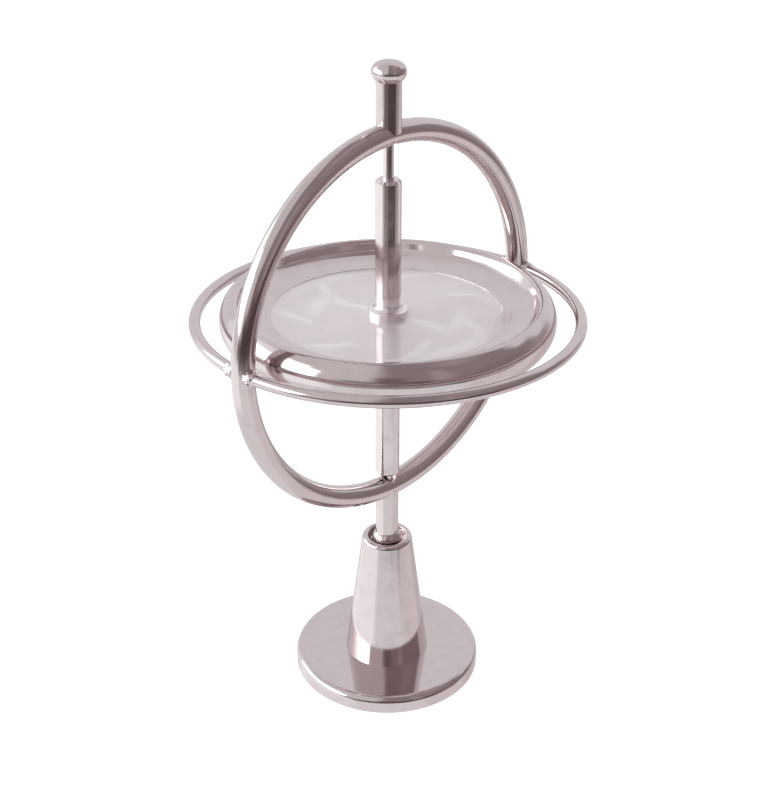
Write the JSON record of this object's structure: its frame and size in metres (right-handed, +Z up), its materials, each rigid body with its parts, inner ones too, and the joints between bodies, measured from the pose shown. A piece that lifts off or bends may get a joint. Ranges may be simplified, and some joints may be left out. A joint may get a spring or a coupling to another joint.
{
  "type": "gyroscope on stand",
  "caption": "Polished metal gyroscope: a flywheel on a pointed axle spins inside crossed rings, and the frame's ball foot rests in the cup of a small round-based pedestal.",
  "frame": {"origin": "centre of the base's underside, on the pedestal's axis", "axes": "+Z up along the pedestal; the upright ring stands close to the XZ plane, and the gyroscope leans towards +X and +Y"},
  "size_m": [0.065, 0.0636, 0.1082],
  "materials": {
    "stand_chrome": "mirror polished",
    "frame_chrome": "mirror polished",
    "rotor_chrome": "mirror polished",
    "web_chrome": "polished sheet, faintly wavy",
    "braze": "plated over rough braze metal",
    "bearing_brass": "turned",
    "zinc_steel": "zinc plated"
  },
  "bodies": {
    "stand": {"base_plate": "stand_chrome", "pedestal": "stand_chrome", "pedestal_screw": "zinc_steel"},
    "frame": {"frame_ring": "frame_chrome", "guard_ring_back": "frame_chrome", "guard_ring_front": "frame_chrome", "braze_beads": "braze", "upper_post": "frame_chrome", "lower_post": "frame_chrome", "upper_bearing": "bearing_brass", "lower_bearing": "bearing_brass", "upper_knob": "frame_chrome", "foot_knob": "frame_chrome"},
    "rotor": {"flywheel_rim": "rotor_chrome", "web_disc": "web_chrome", "axle": "rotor_chrome", "upper_sleeve": "rotor_chrome", "lower_sleeve": "rotor_chrome", "upper_hub_collar": "rotor_chrome", "lower_hub_collar": "rotor_chrome"}
  },
  "joints": [
    {"name": "precession", "type": "hinge", "parent": "stand", "child": "frame", "pos_m": [0, 0, 0.02843], "axis": [0, 0, 1], "continuous": true},
    {"name": "rotor_spin", "type": "hinge", "parent": "frame", "child": "rotor", "pos_m": [0.00224, 0.00222, 0.06595], "axis": [0.0594, 0.059, 0.9965], "continuous": true}
  ]
}
